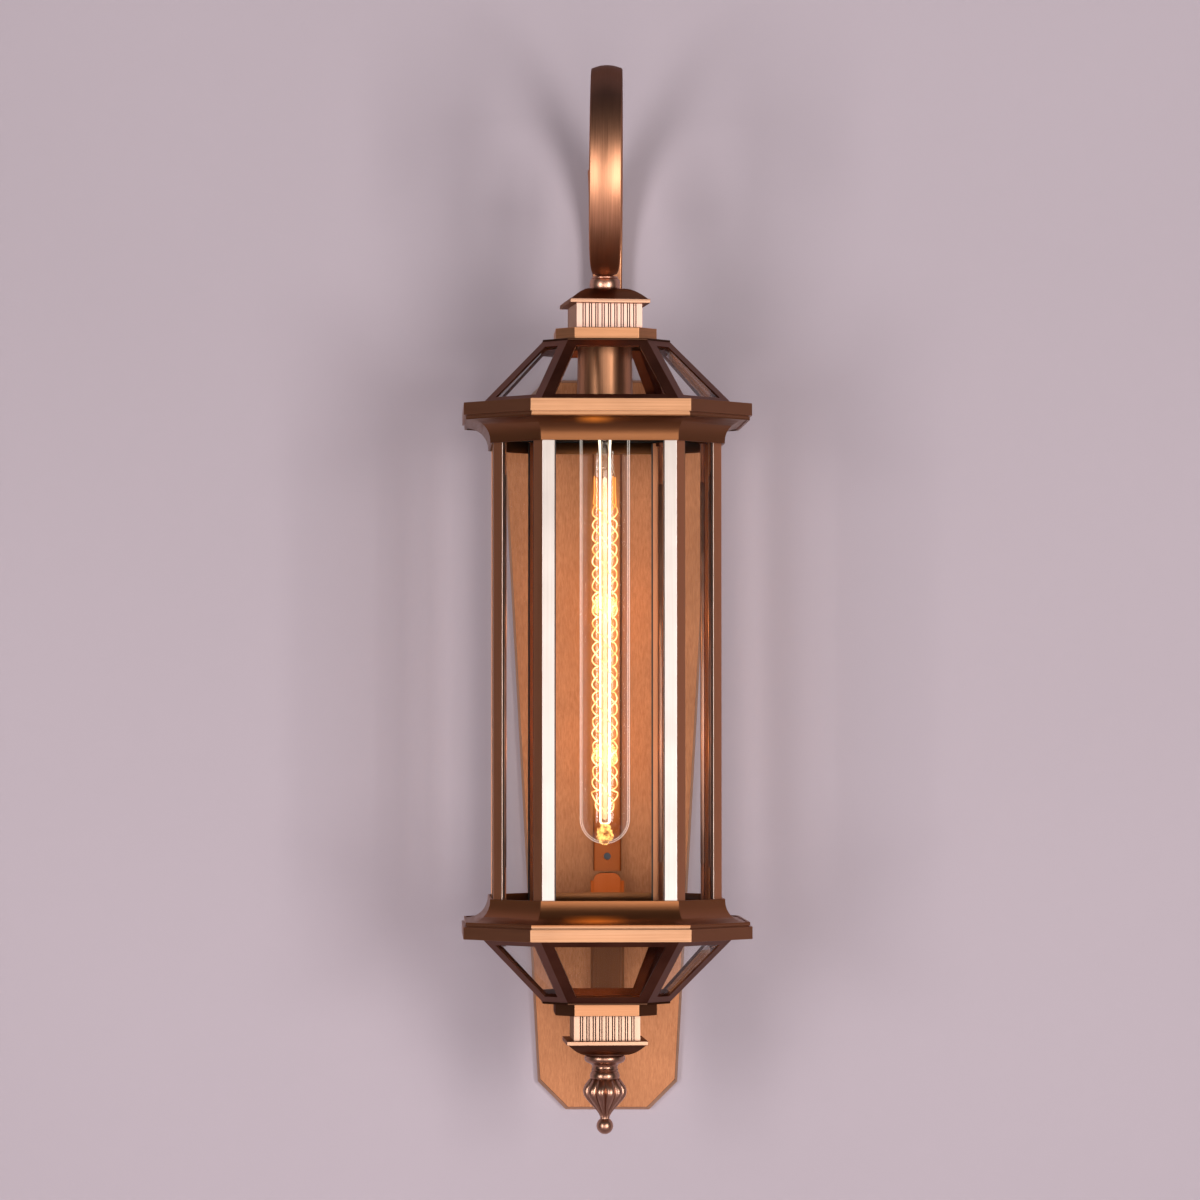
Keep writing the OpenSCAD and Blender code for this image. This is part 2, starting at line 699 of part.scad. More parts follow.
module finial() {
    bulb_from = 15.4;
    ball_r = 5;
    ball_mid = finial_h - ball_r;
    bulb_h = ball_mid - bulb_from - ball_r + 1.2;
    rings = 14;
    per = 4;
    dip = function (t) 1.5 * sin(180 * pow(t, 0.8));
    color(BRONZE) hung() flipped() translate([0, 0, finial_z]) union() {
        translate([0, 0, -stud_h + 1]) cylinder(d = stud_d, h = stud_h);
        rotate_extrude() polygon(concat(
            [[0, 0], [11.6, 0]],
            arc_points([9.5, 2.6], 2.8, -60, 75, 8),
            arc_points([10, 8], 2.4, 235, 140, 6),
            arc_points([4.4, 13.2], 4.5, -42, 26, 7),
            [[8.2, bulb_from + 0.4], [0, bulb_from + 0.4]]));
        loft([for (k = [0:rings]) let (t = k / rings)
            [for (i = [0:gadroons * per - 1]) let (a = 360 * i / (gadroons * per),
                    r = bulb_r(t) - dip(t) * pow(abs(cos(a * gadroons / 2)), 4))
                [r * cos(a), r * sin(a), bulb_from + bulb_h * t]]]);
        translate([0, 0, ball_mid]) sphere(ball_r);
    }
}

// Lamp: cup, lampholder and a long tubular bulb
cup_low = cup_top - cup_h;
holder_h = 28;
holder_low = holder_top - holder_h;
cap_r = 13.1;
bulb_top = holder_top - 2;
bulb_tip = bulb_top - bulb_len;
bulb_r_out = bulb_d / 2;
bulb_wall = 1;
cap_low = bulb_top - 25;

module lamp_cup() {
    top_r = cup_r - 0.8;
    color(COPPER) hung() translate([0, 0, cup_low]) rotate_extrude()
        polygon([[cup_r - cup_t, 0], [cup_r, 0], [top_r, cup_h], [tube_d / 2 + hole_gap, cup_h],
                 [tube_d / 2 + hole_gap, cup_h - cup_t], [top_r - cup_t, cup_h - cup_t]]);
}

// The lampholder screws onto the end of the hanging tube
module lampholder() {
    bore = (tube_d + gap) / 2;
    color([0.9, 0.89, 0.85]) hung() translate([0, 0, holder_low]) rotate_extrude()
        polygon([[cap_r + 0.2, 0], [14.9, 0], [14.9, holder_h], [bore, holder_h],
                 [bore, holder_h - holder_wall], [cap_r + 0.2, holder_h - holder_wall]]);
}

module bulb_cap() {
    color(STEEL) hung() rotate_extrude() polygon([[0, bulb_top], [5, bulb_top], [6, bulb_top - 2],
        [10.5, bulb_top - 4], [cap_r, bulb_top - 6], [cap_r, cap_low], [0, cap_low]]);
}

// Half-section of the envelope: a round tip, a straight tube and a shoulder up to the cap
function envelope(r, tip) = concat(
    arc_points([0, tip + r], r, 270, 360, 10),
    [[r, cap_low - 10], [r - 0.6, cap_low - 6], [12.4 - bulb_r_out + r, cap_low]]);

module bulb_glass() {
    in_r = bulb_r_out - bulb_wall;
    color(CLEAR) hung() rotate_extrude() difference() {
        polygon(concat(envelope(bulb_r_out, bulb_tip), [[0, cap_low]]));
        polygon(concat(envelope(in_r, bulb_tip + bulb_wall),
            [[12.4 - bulb_wall, cap_low + 1], [0, cap_low + 1]]));
    }
}

// Filament: a glass rod hung from the stem, with strands wound round it
module filament() {
    top = cap_low - 40;
    low = bulb_tip + 19;
    strands = 4;
    wire_r = 0.6;
    per_turn = 10;
    steps = round((top - low) / filament_pitch * per_turn);
    color([1, 0.75, 0.35]) hung() union() {
        translate([0, 0, bulb_tip + 7]) cylinder(r = 2.6, h = cap_low - bulb_tip - 7);
        translate([0, 0, cap_low - 14]) cylinder(r1 = 2.6, r2 = 10, h = 14);
        for (s = [0:strands - 1]) loft([for (k = [0:steps])
            let (r = filament_r * min(1, 0.3 + 0.25 * min(k, steps - k)),
                 a = 360 * k / per_turn + 90 * s, z = low + (top - low) * k / steps)
            [for (q = [0:3]) let (b = -90 * q)
                [(r + wire_r * cos(b)) * cos(a), (r + wire_r * cos(b)) * sin(a),
                 z + wire_r * sin(b)]]]);
    }
}

backplate();
scroll_arm();
arm_screws();
cable_cover();
cable_grommet();
hanger_nut();
hanging_tube();
ball_collar();
top_cap();
top_neck();
top_collar();
roof_frame();
top_cornice();
top_gallery();
tie_rods();
bottom_gallery();
bottom_cornice();
base_frame();
bottom_collar();
bottom_neck();
bottom_cap();
finial();
lamp_cup();
cup_nut();
lampholder();
bulb_cap();
bulb_glass();
filament();
for (i = [0:7]) {
    roof_pane(i);
    post(i);
    body_pane(i);
    base_pane(i);
}
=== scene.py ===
import math

import bmesh
import bpy
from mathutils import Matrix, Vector, geometry, noise


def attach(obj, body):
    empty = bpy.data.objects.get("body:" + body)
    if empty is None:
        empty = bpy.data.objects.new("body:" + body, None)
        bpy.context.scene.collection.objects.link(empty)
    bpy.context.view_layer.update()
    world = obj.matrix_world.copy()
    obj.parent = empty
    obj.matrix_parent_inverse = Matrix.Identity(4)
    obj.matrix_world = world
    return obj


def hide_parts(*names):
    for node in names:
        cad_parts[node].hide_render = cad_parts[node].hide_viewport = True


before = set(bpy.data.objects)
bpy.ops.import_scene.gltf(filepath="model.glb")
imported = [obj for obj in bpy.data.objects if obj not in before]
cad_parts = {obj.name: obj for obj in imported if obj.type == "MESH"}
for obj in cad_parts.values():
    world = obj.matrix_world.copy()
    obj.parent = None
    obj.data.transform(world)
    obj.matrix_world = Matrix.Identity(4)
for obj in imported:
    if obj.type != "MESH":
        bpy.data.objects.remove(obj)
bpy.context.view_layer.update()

# Sizes of the CAD model, in mm
MM = 0.001
SIDES = ["right", "rear_right", "rear", "rear_left", "left", "front_left", "front", "front_right"]
REACH, BODY_DROP, LANTERN_TURN = 120.0, 18.3, 3.2
BOLT_Z, BOLT_D = 132, 4.5
PLATE_T, ARM_T, ARM_TIP_T, ARM_CROWN = 5.0, 8.0, 4.5, 1.6
ARM_FOOT_W, ARM_W, ARM_NECK_W, ARM_TIP_W = 17.2, 19.4, 15.4, 9.0
SCROLL_D, SCROLL_RATIO, SCROLL_BOW, VOLUTE_DRIFT = 127.2, 0.63, 1.5, 4.4
ARM_BOTTOM = -141.0
TUBE_HOLE_R = 4.15
BODY_A, BODY_B = 67.5, 39.4
LIP_Z, CORNICE_H, CORNICE_T, ROOF_H, FLANGE_T = 134.7, 23.4, 1.3, 38, 1.2
COLLAR_H, NECK_H, CAP_EDGE, DOME_H, BALL_H = 7.2, 15.2, 2.5, 7.4, 8
SHEET_T, GLASS_T, GAP, POST_W = 1.2, 2.0, 0.1, 7.2
GALLERY_Z, GALLERY_T, NUT_H, NUT_AF = 141.7, 1.2, 2.4, 5.0
CUP_T, CUP_NUT_H, HOLDER_GAP, BULB_LEN = 1.3, 4, 2, 290

FASCIA_Z = LIP_Z + CORNICE_H
END_Z = LIP_Z + CORNICE_H + ROOF_H
ARM_Z = END_Z + FLANGE_T + COLLAR_H + NECK_H + CAP_EDGE + DOME_H + BALL_H
FINIAL_Z = -(ARM_Z - BALL_H - 1)
HOLDER_TOP = END_Z - CUP_T - CUP_NUT_H - HOLDER_GAP
BULB_TOP = HOLDER_TOP - 2
BULB_TIP = BULB_TOP - BULB_LEN
CAP_LOW = BULB_TOP - 25

# The lantern's axis in the row's frame, in metres
AXIS = Vector((0.0, -REACH * MM, -BODY_DROP * MM))
TURN = math.radians(LANTERN_TURN)

# Radius that closes a turned profile on its axis
CENTRE = 0.01


def cosd(a):
    return math.cos(math.radians(a))


def sind(a):
    return math.sin(math.radians(a))


def smooth(t):
    return t * t * (3 - 2 * t)


def hung(v):
    """From the lantern's own frame, in mm, to the row's frame."""
    c, s = math.cos(TURN), math.sin(TURN)
    return Vector((v[0] * c - v[1] * s, v[0] * s + v[1] * c, v[2])) * MM + AXIS


def rgba(colour):
    return (*colour, 1.0)


# Shader nodes
class Nodes:
    """A material's node tree, with short names for what the materials repeat."""

    def __init__(self, name):
        self.mat = bpy.data.materials.new(name)
        self.mat.use_nodes = True
        self.nt = self.mat.node_tree
        self.nt.nodes.clear()
        self.out = self.add("OutputMaterial")

    def add(self, kind, **props):
        n = self.nt.nodes.new("ShaderNode" + kind)
        for k, v in props.items():
            setattr(n, k, v)
        return n

    def link(self, a, b):
        self.nt.links.new(a, b)

    def feed(self, value, socket):
        """Links an output to the socket, or sets the socket to a number or a colour."""
        if isinstance(value, bpy.types.NodeSocket):
            self.link(value, socket)
        else:
            socket.default_value = rgba(value) if isinstance(value, tuple) else value

    def finish(self, shader, lit=False):
        self.link(shader, self.out.inputs["Surface"])
        if lit:
            self.mat.cycles.emission_sampling = "NONE"
        return self.mat

    def coords(self, scale=(1, 1, 1), uv=False):
        c = self.add("TexCoord")
        m = self.add("Mapping")
        m.inputs["Scale"].default_value = scale
        self.link(c.outputs["UV" if uv else "Object"], m.inputs["Vector"])
        return m.outputs["Vector"]

    def local(self, place=(0, 0, 0), turn=0.0):
        """The point's X, Y and Z from place, turned about the vertical."""
        c = self.add("TexCoord")
        m = self.add("Mapping", vector_type="TEXTURE")
        m.inputs["Location"].default_value = place
        m.inputs["Rotation"].default_value = (0, 0, turn)
        self.link(c.outputs["Object"], m.inputs["Vector"])
        return self.split(m.outputs["Vector"])

    def split(self, vector):
        xyz = self.add("SeparateXYZ")
        self.link(vector, xyz.inputs["Vector"])
        return xyz.outputs

    def noise(self, vector, scale, detail=3.0, rough=0.55):
        n = self.add("TexNoise")
        n.inputs["Scale"].default_value = scale
        n.inputs["Detail"].default_value = detail
        n.inputs["Roughness"].default_value = rough
        self.link(vector, n.inputs["Vector"])
        return n.outputs["Fac"]

    def ramp(self, value, stops):
        r = self.add("ValToRGB")
        while len(r.color_ramp.elements) < len(stops):
            r.color_ramp.elements.new(0.5)
        for e, (position, colour) in zip(r.color_ramp.elements, stops):
            e.position = position
            e.color = rgba(colour)
        self.link(value, r.inputs["Fac"])
        return r.outputs["Color"]

    def spread(self, value, low, high, from_low=0.3, from_high=0.7):
        """From the range from_low to from_high to the range low to high, clamped."""
        m = self.add("MapRange")
        m.inputs["From Min"].default_value = from_low
        m.inputs["From Max"].default_value = from_high
        m.inputs["To Min"].default_value = low
        m.inputs["To Max"].default_value = high
        self.link(value, m.inputs["Value"])
        return m.outputs["Result"]

    def between(self, value, none_low, full_low, full_high, none_high):
        """1 from full_low to full_high, and fading to 0 on both sides."""
        return self.maths("MULTIPLY", self.spread(value, 0.0, 1.0, none_low, full_low),
                          self.spread(value, 1.0, 0.0, full_high, none_high))

    def maths(self, kind, *values):
        m = self.add("Math", operation=kind)
        for socket, value in zip(m.inputs, values):
            self.feed(value, socket)
        return m.outputs["Value"]

    def colours(self, kind, share, a, b):
        m = self.add("Mix", data_type="RGBA", blend_type=kind)
        self.feed(share, m.inputs["Factor"])
        self.feed(a, m.inputs["A"])
        self.feed(b, m.inputs["B"])
        return m.outputs["Result"]

    def bump(self, height, distance):
        b = self.add("Bump")
        b.inputs["Distance"].default_value = distance
        self.link(height, b.inputs["Height"])
        return b.outputs["Normal"]

    def principled(self, **inputs):
        """A Principled shader. Its inputs' names have _ for a space."""
        p = self.add("BsdfPrincipled")
        for name, value in inputs.items():
            self.feed(value, p.inputs[name.replace("_", " ")])
        return p.outputs["BSDF"]

    def emission(self, colour, strength):
        e = self.add("Emission")
        self.feed(colour, e.inputs["Color"])
        self.feed(strength, e.inputs["Strength"])
        return e.outputs["Emission"]

    def mix(self, share, a, b):
        m = self.add("MixShader")
        self.link(share, m.inputs["Fac"])
        self.link(a, m.inputs[1])
        self.link(b, m.inputs[2])
        return m.outputs["Shader"]

    def plus(self, a, b):
        m = self.add("AddShader")
        self.link(a, m.inputs[0])
        self.link(b, m.inputs[1])
        return m.outputs["Shader"]


# Kinds of material
def brushed(name, dark, light, grain, rough, bump, uv=False, streak=1.0, painted_light_and_shade=(), edge=None, glow=None):
    """Lacquered brushed metal. grain is the pattern's frequency on each axis, low along the grain.
    The mask and colour pairs after streak paint light and shade over the metal, edge is the metal's tint
    at its outline, and glow is (mask builder, colour, strength) for lamp light painted on it as emission."""
    n = Nodes(name)
    fine = n.noise(n.coords(grain, uv), 1.0, 5.0, 0.62)
    soft = n.noise(n.coords((28, 28, 28)), 1.0, 3.0, 0.5)
    colour = n.ramp(fine, [(0.5 - 0.22 * streak, dark), (0.5 + 0.22 * streak, light)])
    colour = n.colours("MULTIPLY", 1.0, colour, n.ramp(soft, [(0.3, (0.90,) * 3), (0.7, (1.06,) * 3)]))
    # Lays each mask's painted light and shade colour over the metal.
    for mask, painted_colour in painted_light_and_shade:
        colour = n.colours("MIX", mask(n), colour, painted_colour)
    inputs = dict(Base_Color=colour, Metallic=1.0, Roughness=n.spread(fine, *rough),
                  Normal=n.bump(fine, bump))
    if edge:
        inputs["Specular_Tint"] = edge
    if glow:
        mask, hue, strength = glow
        inputs["Emission_Color"] = hue
        inputs["Emission_Strength"] = n.maths("MULTIPLY", mask(n), strength)
    return n.finish(n.principled(**inputs), lit=bool(glow))


def satin(name, dark, light, rough, metallic=1.0, specular=0.5):
    """Satin sprayed finish with a faint mottle."""
    n = Nodes(name)
    v = n.coords()
    fine = n.noise(v, 1560, 3.0, 0.6)
    soft = n.noise(v, 52, 3.0, 0.5)
    return n.finish(n.principled(Base_Color=n.ramp(soft, [(0.32, dark), (0.68, light)]), Metallic=metallic,
                                 Specular_IOR_Level=specular, Roughness=n.spread(soft, *rough),
                                 Normal=n.bump(fine, 8e-6)))


def clear(name, tint, head_on, lit=None, painted_middle_glow=None):
    """Thin clear glass: what isn't mirrored passes straight through, slightly tinted. head_on is the
    share that is mirrored square on. lit is (colour, strength, start, full) for light painted on the edges,
    for the lamp's light caught in the glass, and the last argument is the same for a glow painted in the
    middle, between the filament's ends."""
    n = Nodes(name)
    soft = n.noise(n.coords((9, 9, 3)), 1.0, 2.0, 0.5)
    pale = tuple(min(1, x * 1.03) for x in tint)
    through = n.add("BsdfTransparent")
    n.link(n.ramp(soft, [(0.3, tint), (0.7, pale)]), through.inputs["Color"])
    mirror = n.add("BsdfAnisotropic")
    mirror.inputs["Color"].default_value = rgba((1, 1, 1))
    mirror.inputs["Roughness"].default_value = 0.02
    slant = n.add("LayerWeight")
    slant.inputs["Blend"].default_value = 0.5
    slant = slant.outputs["Facing"]
    share = n.maths("MULTIPLY_ADD", n.maths("POWER", slant, 4.6), 0.9 - head_on, head_on)
    shader = n.mix(share, through.outputs["BSDF"], mirror.outputs["BSDF"])
    # Painted light on the edges, for the lamp's light caught in the glass.
    if lit:
        shader = n.plus(shader, n.emission(lit[0], n.spread(slant, 0.0, *lit[1:])))
    # A painted glow in the middle, between the filament's ends.
    if painted_middle_glow:
        level = n.maths("MULTIPLY", n.spread(slant, painted_middle_glow[1], 0.0, *painted_middle_glow[2:]),
                        n.between(n.local()["Z"], -0.112, -0.096, 0.082, 0.098))
        shader = n.plus(shader, n.emission(painted_middle_glow[0], level))
    return n.finish(shader, lit=bool(lit))


def glowing(name, hot, dim, strength, scale, cooler=None):
    """Incandescent wire: brighter and dimmer stretches along it, also used for painted light on the stem's
    core and tip. cooler is a mask builder and colour.
    """
    n = Nodes(name)
    colour = n.ramp(n.noise(n.coords((scale,) * 3), 1.0, 2.0, 0.5), [(0.35, dim), (0.65, hot)])
    if cooler:
        colour = n.colours("MIX", cooler[0](n), colour, cooler[1])
    return n.finish(n.principled(Base_Color=(0.2, 0.1, 0.04), Roughness=0.5, Emission_Color=colour,
                                 Emission_Strength=strength), lit=True)


# Mask builders: each takes a Nodes and returns an output from 0 to 1. Lengths are in metres.
def along(axis, full, none):
    """Fades along an axis, from full to none."""
    return lambda n: n.spread(n.local()[axis], 1.0, 0.0, full, none)


def outward(full, none):
    """Faces turned away from the wall, by their normal's Y."""
    def mask(n):
        normal = n.split(n.add("NewGeometry").outputs["Normal"])
        return n.spread(normal["Y"], 1.0, 0.0, full, none)
    return mask


def off_front_light(n):
    """All but the flat faces of the lantern's front. A colour on this mask paints the sides darker than the
    front faces: painted light and shade, with the front faces taking the front light.
    """
    front = n.spread(n.local()["Y"], 1.0, 0.0, -0.15, -0.14)
    return n.maths("SUBTRACT", 1.0, n.maths("MULTIPLY", outward(-0.95, -0.85)(n), front))


def lit_foot(full, none):
    """The lamp's light on the front of a piece at the plate, fading with height."""
    return lambda n: n.maths("MULTIPLY", along("Z", full, none)(n), outward(-0.9, -0.3)(n))


def lamp_on(x, reach, cut, full, none):
    """The lamp's image in a cove: round x, brightest at the height full, on the front only."""
    def mask(n):
        xyz = n.local()
        offset = n.maths("ABSOLUTE", n.maths("SUBTRACT", xyz["X"], x))
        wide = n.spread(offset, 1.0, 0.0, 0.1 * reach, reach)
        front = n.spread(xyz["Y"], 1.0, 0.0, -0.165, -0.155)
        band = n.between(xyz["Z"], cut, full, full, none)
        return n.maths("MULTIPLY", wide, n.maths("MULTIPLY", front, band))
    return mask


def lamp_behind(n):
    """The lamp's light on the plate, level with the bulb."""
    return n.maths("MULTIPLY", n.between(n.local()["Z"], -0.17, -0.11, 0.11, 0.16), outward(-0.9, -0.3)(n))


# The plate's bevel, for a painted highlight.
def plate_bevel(n):
    return n.spread(n.local()["Y"], 0.0, 1.0, -0.00492, -0.0047)


def slots_of(node):
    """A square neck's flutes: everything deeper than its faces."""
    corners = [v.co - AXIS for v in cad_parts[node].data.vertices]
    far = max(corners, key=lambda v: v.x ** 2 + v.y ** 2)
    half = math.hypot(far.x, far.y) / math.sqrt(2)
    turn = math.atan2(far.y, far.x) - math.pi / 4

    def mask(n):
        xyz = n.local(tuple(AXIS), turn)
        out = n.maths("MAXIMUM", n.maths("ABSOLUTE", xyz["X"]), n.maths("ABSOLUTE", xyz["Y"]))
        return n.spread(out, 1.0, 0.0, half - 0.30 * MM, half - 0.04 * MM)
    return mask


# Metals
V_GRAIN = (900, 900, 14)
H_GRAIN = (16, 16, 1100)
# Painted shade colours: along each collar's edge next to the lantern, and in the necks' flutes.
PAINTED_EDGE_SHADE = (0.075, 0.032, 0.018)
PAINTED_FLUTE_SHADE = (0.028, 0.012, 0.008)
CORNICE = dict(grain=H_GRAIN, rough=(0.33, 0.43), bump=7e-6)
COLLAR = dict(grain=H_GRAIN, rough=(0.34, 0.44), bump=7e-6)
NECK = dict(grain=V_GRAIN, rough=(0.38, 0.48), bump=4e-6, edge=(0.12, 0.08, 0.06))
CAP = dict(dark=(0.42, 0.22, 0.14), light=(0.56, 0.31, 0.20), grain=H_GRAIN, rough=(0.28, 0.38), bump=5e-6,
           edge=(0.5, 0.4, 0.36))

# Painted highlight on the plate's bevel, and painted lamp light on the plate level with the bulb.
PLATE = brushed("plate_copper_lacquer", (0.28, 0.105, 0.047), (0.50, 0.215, 0.104), (1500, 1500, 260),
                rough=(0.40, 0.52), bump=1.6e-5, streak=1.2, painted_light_and_shade=[(plate_bevel, (0.70, 0.42, 0.28))],
                glow=(lamp_behind, (1.0, 0.42, 0.20), 0.07))
# Painted shade on the arm: darker over its top, below 0.22 m, and most at its foot behind the lantern, where
# painted lamp light lies on the front.
ARM = brushed("arm_copper_lacquer", (0.54, 0.235, 0.125), (0.78, 0.37, 0.205), (1500, 26, 1), uv=True,
              rough=(0.38, 0.48), bump=6e-6, edge=(0.5, 0.42, 0.40),
              painted_light_and_shade=[(along("Z", 0.322, 0.288), (0.21, 0.112, 0.08)),
                      (along("Z", 0.220, 0.246), (0.42, 0.17, 0.083)),
                      (along("Z", -0.10, -0.06), (0.17, 0.058, 0.024))],
              glow=(lit_foot(-0.10, -0.06), (1.0, 0.16, 0.01), 0.17))
# Each top piece's copper is a lighter copy of its bottom twin's, for cornices, collars and necks: painted
# light and shade. The top cornice also gets painted shade on its sides and in its cove, and a painted
# reflection of the lamp in the cove's front.
TOP_CORNICE = brushed("top_cornice_copper_lacquer", (0.42, 0.20, 0.10), (0.585, 0.30, 0.16), **CORNICE,
                      painted_light_and_shade=[(off_front_light, (0.31, 0.132, 0.068)),
                              (along("Z", 0.1302, 0.1310), (0.20, 0.078, 0.032))],
                      glow=(lamp_on(-0.005, 0.012, 0.1301, 0.1285, 0.1255), (1.0, 0.26, 0.03), 0.50))
# Painted shade on the bottom cornice's sides and in its cove, and a painted reflection of the lamp in the
# cove's front.
LOW_CORNICE = brushed("low_cornice_copper_lacquer", (0.36, 0.175, 0.092), (0.50, 0.265, 0.15), **CORNICE,
                      painted_light_and_shade=[(off_front_light, (0.33, 0.138, 0.07)),
                              (along("Z", -0.1668, -0.1676), (0.28, 0.105, 0.042))],
                      glow=(lamp_on(-0.005, 0.020, -0.1667, -0.1648, -0.1610), (1.0, 0.20, 0.015), 0.36))
# Painted shade along each collar's edge next to the lantern, and on the bottom collar's sides.
TOP_COLLAR = brushed("top_collar_copper_lacquer", (0.50, 0.227, 0.108), (0.70, 0.33, 0.165), **COLLAR,
                     painted_light_and_shade=[(along("Z", 0.17905, 0.1793), PAINTED_EDGE_SHADE)])
LOW_COLLAR = brushed("low_collar_copper_lacquer", (0.395, 0.172, 0.081), (0.505, 0.233, 0.117), **COLLAR,
                     edge=(0.3, 0.2, 0.16),
                     painted_light_and_shade=[(off_front_light, (0.13, 0.055, 0.03)), (along("Z", -0.21565, -0.2159), PAINTED_EDGE_SHADE)])
# Painted shade in the necks' flutes.
TOP_NECK = brushed("top_neck_copper_lacquer", (0.60, 0.36, 0.275), (0.77, 0.49, 0.39), **NECK,
                   painted_light_and_shade=[(slots_of("top_neck"), PAINTED_FLUTE_SHADE)])
LOW_NECK = brushed("low_neck_copper_lacquer", (0.52, 0.315, 0.22), (0.67, 0.42, 0.30), **NECK,
                   painted_light_and_shade=[(slots_of("bottom_neck"), PAINTED_FLUTE_SHADE)])
# Painted shade on both caps' domes, darker than their rims.
TOP_CAP = brushed("top_cap_copper_lacquer", **CAP,
                  painted_light_and_shade=[(along("Z", 0.2041, 0.2037), (0.19, 0.09, 0.055))])
LOW_CAP = brushed("low_cap_copper_lacquer", **CAP,
                  painted_light_and_shade=[(along("Z", -0.2407, -0.2403), (0.13, 0.06, 0.038))])
# The pale colour on the posts' flat front faces is a painted highlight; their other faces get the copper.
POST = brushed("post_copper_lacquer", (0.46, 0.39, 0.35), (0.53, 0.465, 0.425), V_GRAIN,
               rough=(0.30, 0.38), bump=4e-6, painted_light_and_shade=[(off_front_light, (0.58, 0.245, 0.122))])
CUP = brushed("cup_copper_lacquer", (0.46, 0.205, 0.105), (0.64, 0.305, 0.165), V_GRAIN,
              rough=(0.33, 0.43), bump=5e-6)
COVER = brushed("cover_bronze_lacquer", (0.125, 0.046, 0.021), (0.19, 0.072, 0.034), V_GRAIN,
                rough=(0.34, 0.44), bump=6e-6, glow=(lit_foot(-0.172, -0.185), (1.0, 0.15, 0.008), 0.30))
BRONZE = satin("dark_bronze_satin", (0.105, 0.034, 0.018), (0.15, 0.052, 0.028), (0.28, 0.40))
AGED = satin("aged_bronze_satin", (0.33, 0.172, 0.116), (0.47, 0.256, 0.178), (0.26, 0.35))
ROD = satin("rod_bronze_satin", (0.27, 0.14, 0.094), (0.40, 0.215, 0.15), (0.34, 0.44))
BALL = satin("ball_bronze_satin", (0.46, 0.24, 0.165), (0.62, 0.34, 0.24), (0.27, 0.36))
OXIDE = satin("black_oxide_steel", (0.018, 0.016, 0.015), (0.03, 0.027, 0.025), (0.45, 0.6))
STEEL = satin("zinc_steel", (0.42, 0.41, 0.40), (0.60, 0.59, 0.57), (0.25, 0.4))
NICKEL = satin("cap_nickel", (0.46, 0.42, 0.36), (0.62, 0.58, 0.51), (0.2, 0.35))
LEAD = satin("lead_wire_nickel", (0.40, 0.38, 0.34), (0.55, 0.52, 0.46), (0.25, 0.4))

# Matt black, rubber, dark strips, ceramic, glass and glows
# Near-black on the gallery plates, which make the dark band under each cornice.
BLACK = satin("gallery_black_matt", (0.012, 0.011, 0.011), (0.02, 0.019, 0.018), (0.8, 0.9), 0.0,
              specular=0.06)
RUBBER = satin("black_rubber", (0.012, 0.012, 0.012), (0.03, 0.03, 0.03), (0.55, 0.75), 0.0)
# Near-black strips beside the posts' flanges, at each pane's edge.
DARK_STRIP = satin("dark_edge_strip", (0.018, 0.010, 0.007), (0.035, 0.02, 0.014), (0.35, 0.5), 0.0)
CREAM = satin("holder_cream", (0.60, 0.56, 0.48), (0.70, 0.66, 0.58), (0.35, 0.5), 0.0)
PANE = clear("pane_clear_glass", (0.975, 0.978, 0.975), 0.0)
# The bulb and stem glass carry painted light on their edges, and the bulb a painted glow in its middle.
BULB = clear("bulb_clear_glass", (0.985, 0.965, 0.94), 0.023, lit=((1.0, 0.90, 0.82), 0.34, 0.68, 0.86),
             painted_middle_glow=((1.0, 0.35, 0.075), 0.125, 0.02, 0.24))
STEM = clear("stem_clear_glass", (0.97, 0.94, 0.88), 0.04, lit=((1.0, 0.90, 0.74), 1.1, 0.16, 0.32))
# The stem core's glow is a painted reflection of the filament in the glass rod.
STEM_PAINTED_REFLECTION = glowing("stem_core_painted_reflection", (1.0, 0.80, 0.54), (1.0, 0.62, 0.30), 1.2, 120)
GLOW = glowing("filament_glow", (1.0, 0.62, 0.32), (0.60, 0.25, 0.075), 2.8, 180,
               cooler=(along("Z", 0.080, 0.073), (0.55, 0.17, 0.03)))
# The stem tip's glow is a painted glint of the filament.
TIP_PAINTED_GLINT = glowing("stem_tip_painted_glint", (1.0, 0.58, 0.16), (0.20, 0.045, 0.004), 2.0, 420)


def show(name, mesh):
    obj = bpy.data.objects.new(name, mesh)
    bpy.context.scene.collection.objects.link(obj)
    return obj


def new_object(name, verts, faces, material, slot, flat=False, sharp=None):
    """sharp is the angle in degrees from which an edge stays sharp."""
    me = bpy.data.meshes.new(name)
    me.from_pydata([tuple(v) for v in verts], [], faces)
    me.validate()
    bm = bmesh.new()
    bm.from_mesh(me)
    bmesh.ops.recalc_face_normals(bm, faces=bm.faces)
    bm.to_mesh(me)
    bm.free()
    for p in me.polygons:
        p.use_smooth = not flat
    if sharp:
        me.set_sharp_from_angle(angle=math.radians(sharp))
    me.materials.append(material)
    obj = show(name, me)
    return obj


def soften(obj, width, segments, angle=30):
    """Eases the edges over angle degrees by width, in mm."""
    b = obj.modifiers.new("edge", "BEVEL")
    b.width = width * MM
    b.segments = segments
    b.limit_method = "ANGLE"
    b.angle_limit = math.radians(angle)
    b.harden_normals = False
    b.use_clamp_overlap = True
    w = obj.modifiers.new("normals", "WEIGHTED_NORMAL")
    w.keep_sharp = True
    w.weight = 60


